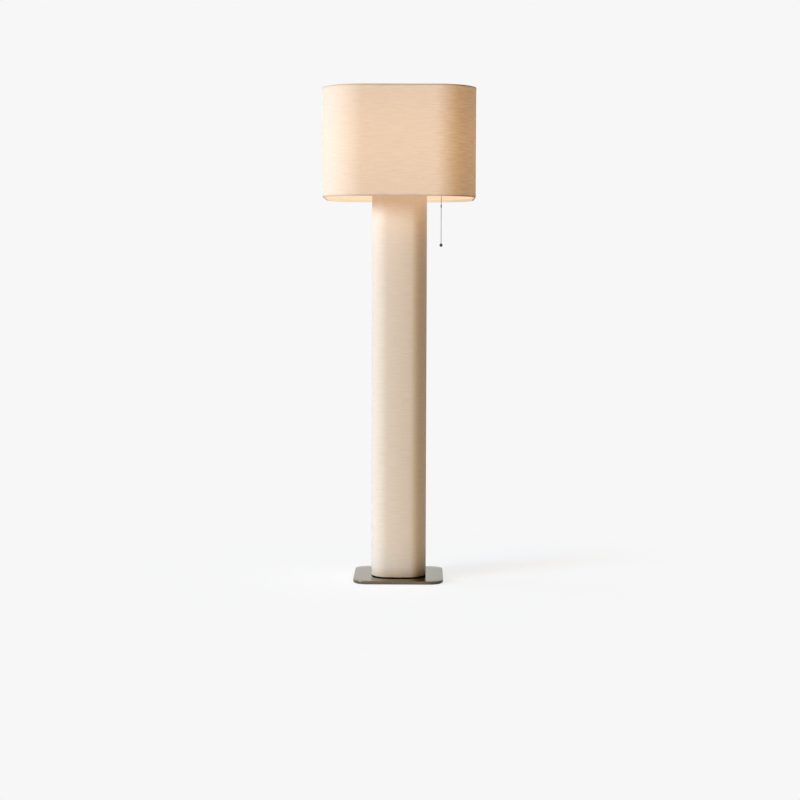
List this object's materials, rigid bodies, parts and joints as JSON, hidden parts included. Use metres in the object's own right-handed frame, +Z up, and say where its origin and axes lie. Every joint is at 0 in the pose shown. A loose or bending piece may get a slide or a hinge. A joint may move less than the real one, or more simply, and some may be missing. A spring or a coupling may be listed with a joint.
{
  "type": "floor lamp",
  "caption": "Floor lamp with a linen-covered rounded-square column on a metal base plate, a rounded-square linen shade, upright bulbs and a bead-chain pull switch.",
  "frame": {"origin": "centre of the footprint on the floor, under the column's axis", "axes": "+Z up along the column, +X to the side that the pull chain hangs on, front faces -Y and the cord outlet faces +Y"},
  "size_m": [0.462, 0.462, 1.5],
  "materials": {
    "bronze_plate": "polished antique bronze",
    "felt": "pressed felt",
    "zinc_steel": "zinc plated",
    "brass": "satin lacquered",
    "black_board": "matt black paint",
    "plywood": "sanded",
    "column_linen": "plain-woven slubby linen",
    "black_metal": "satin black",
    "black_plastic": "moulded",
    "white_plastic": "moulded",
    "lead_sheath": "smooth sheath",
    "white_wire": "white coated wire",
    "shade_liner": "matt translucent styrene",
    "shade_linen": "plain-woven slubby linen",
    "linen_tape": "folded linen tape",
    "white_ceramic": "glazed",
    "bulb_cap": "drawn",
    "bulb_glass": "opal",
    "bead_chain": "dark nickel",
    "black_ball": "satin black"
  },
  "bodies": {
    "stand": {"base_plate": "bronze_plate", "base_felt": "felt", "base_screws": "zinc_steel", "base_inserts": "brass", "column_foot": "black_board", "column_bottom_board": "plywood", "column_core": "plywood", "column_top_board": "plywood", "column_cover": "column_linen", "column_top_plate": "black_metal", "top_plate_screws": "zinc_steel", "cord_outlet": "black_plastic", "terminal_block": "white_plastic", "supply_lead": "lead_sheath", "stem_tube": "zinc_steel", "stem_nuts": "zinc_steel", "stem_washer": "zinc_steel", "switch_bracket": "black_metal", "cluster_body": "brass", "cluster_lid": "brass", "riser_tube": "brass", "shade_seat": "brass", "finial_stud": "zinc_steel", "front_socket_arm": "brass", "rear_socket_arm": "brass", "front_socket_cap": "brass", "rear_socket_cap": "brass", "front_socket_sleeve": "brass", "rear_socket_sleeve": "brass", "front_socket_insulator": "white_ceramic", "rear_socket_insulator": "white_ceramic", "front_screw_shell": "brass", "rear_screw_shell": "brass", "front_contact": "brass", "rear_contact": "brass", "switch_case": "black_plastic", "switch_cover": "black_plastic", "switch_axle": "zinc_steel", "switch_spring": "zinc_steel", "switch_contacts": "brass", "switch_nut": "brass", "switch_bell": "brass", "switch_leads": "lead_sheath"},
    "finial": {"finial": "brass"},
    "front_bulb": {"front_bulb_cap": "bulb_cap", "front_bulb_glass": "bulb_glass"},
    "rear_bulb": {"rear_bulb_cap": "bulb_cap", "rear_bulb_glass": "bulb_glass"},
    "shade": {"shade_top_ring": "white_wire", "shade_bottom_ring": "white_wire", "shade_spider": "white_wire", "shade_liner": "shade_liner", "shade_linen": "shade_linen", "shade_trims": "linen_tape"},
    "rotor": {"switch_rotor": "white_plastic"},
    "pull": {"chain_upper": "bead_chain"},
    "swivel": {"chain_swivel_bead": "bead_chain"},
    "chain": {"chain_lower": "bead_chain", "chain_connector": "bead_chain", "pull_ball": "black_ball"}
  },
  "joints": [
    {"name": "shade_turn", "type": "hinge", "parent": "stand", "child": "shade", "pos_m": [0, 0, 1.47], "axis": [0, 0, 1], "continuous": true},
    {"name": "finial_turn", "type": "hinge", "parent": "stand", "child": "finial", "pos_m": [0, 0, 1.473], "axis": [0, 0, 1], "continuous": true},
    {"name": "front_bulb_turn", "type": "hinge", "parent": "stand", "child": "front_bulb", "pos_m": [0, -0.07, 1.3], "axis": [0, 0, 1], "continuous": true},
    {"name": "rear_bulb_turn", "type": "hinge", "parent": "stand", "child": "rear_bulb", "pos_m": [0, 0.07, 1.3], "axis": [0, 0, 1], "continuous": true},
    {"name": "chain_pull", "type": "slide", "parent": "stand", "child": "pull", "axis": [0, 0, -1], "range_m": [0, 0.0141], "stiffness_N_per_m": 300, "springref_m": -0.004},
    {"name": "rotor_turn", "type": "hinge", "parent": "stand", "child": "rotor", "pos_m": [0.119, 0, 1.2281], "axis": [0, 1, 0], "range_deg": [0, 90]},
    {"name": "chain_sway_side", "type": "hinge", "parent": "pull", "child": "swivel", "pos_m": [0.128, 0, 1.1955], "axis": [0, 1, 0], "range_deg": [-30, 12]},
    {"name": "chain_sway_front", "type": "hinge", "parent": "swivel", "child": "chain", "pos_m": [0.128, 0, 1.1955], "axis": [1, 0, 0], "range_deg": [-30, 30]}
  ],
  "couplings": [
    {"joint": "rotor_turn", "follows": "chain_pull", "rad_per_m": 111.11}
  ]
}
